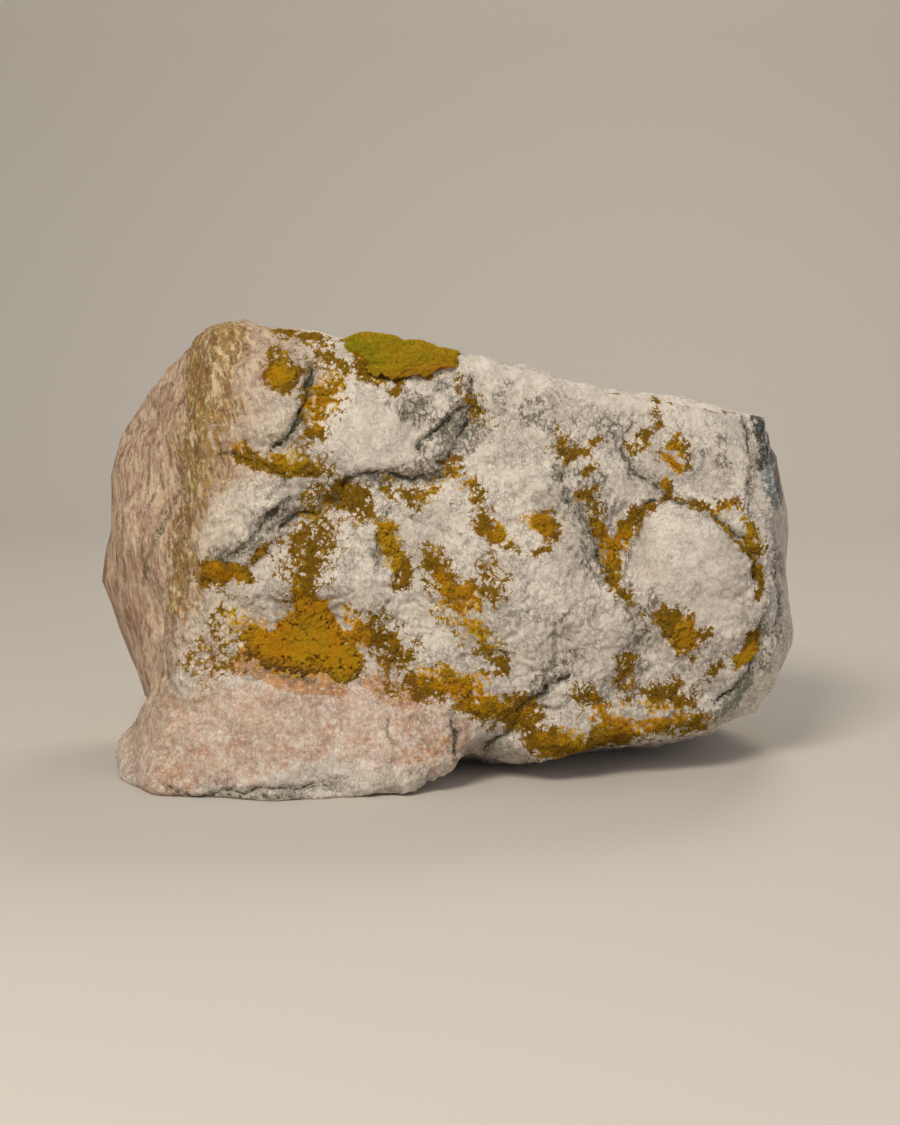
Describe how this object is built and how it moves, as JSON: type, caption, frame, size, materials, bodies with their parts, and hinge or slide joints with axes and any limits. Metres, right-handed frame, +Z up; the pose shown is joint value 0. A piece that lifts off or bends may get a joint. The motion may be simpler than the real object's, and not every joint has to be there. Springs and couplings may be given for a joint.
{
  "type": "mossy rock",
  "caption": "Weathered granite boulder with a low wedge shape, pale lichened crust and pads of moss in its hollows and cracks; rests on a flat underside.",
  "frame": {"origin": "middle of the object's box at its underside", "axes": "+X along the length towards the low end, -Y out of the mossy face, +Z up"},
  "size_m": [0.7044, 0.409, 0.4366],
  "materials": {
    "granite": "rough weathered granite with a pale lichen crust",
    "ochre_moss": "matt golden brown moss, short and fibrous",
    "green_moss": "matt yellow-green cushion moss"
  },
  "bodies": {
    "root": {"stone": "granite", "moss_cushion_top": "green_moss", "moss_pad_ledge": "ochre_moss", "moss_pad_foot": "ochre_moss", "moss_pad_sill": "ochre_moss", "moss_pad_middle": "ochre_moss", "moss_pad_centre": "ochre_moss", "moss_pad_valley": "ochre_moss", "moss_pad_right": "ochre_moss", "moss_streak": "ochre_moss", "moss_pad_nose": "ochre_moss", "moss_button": "ochre_moss", "moss_pad_gully": "ochre_moss", "moss_pad_step": "ochre_moss", "moss_pad_arc": "ochre_moss", "moss_pad_lip": "ochre_moss", "moss_pad_joint": "ochre_moss", "moss_pad_crown": "ochre_moss", "moss_carpet_top": "green_moss", "moss_pad_top_low": "green_moss", "moss_pad_back": "ochre_moss", "moss_pad_back_foot": "ochre_moss"}
  },
  "joints": []
}
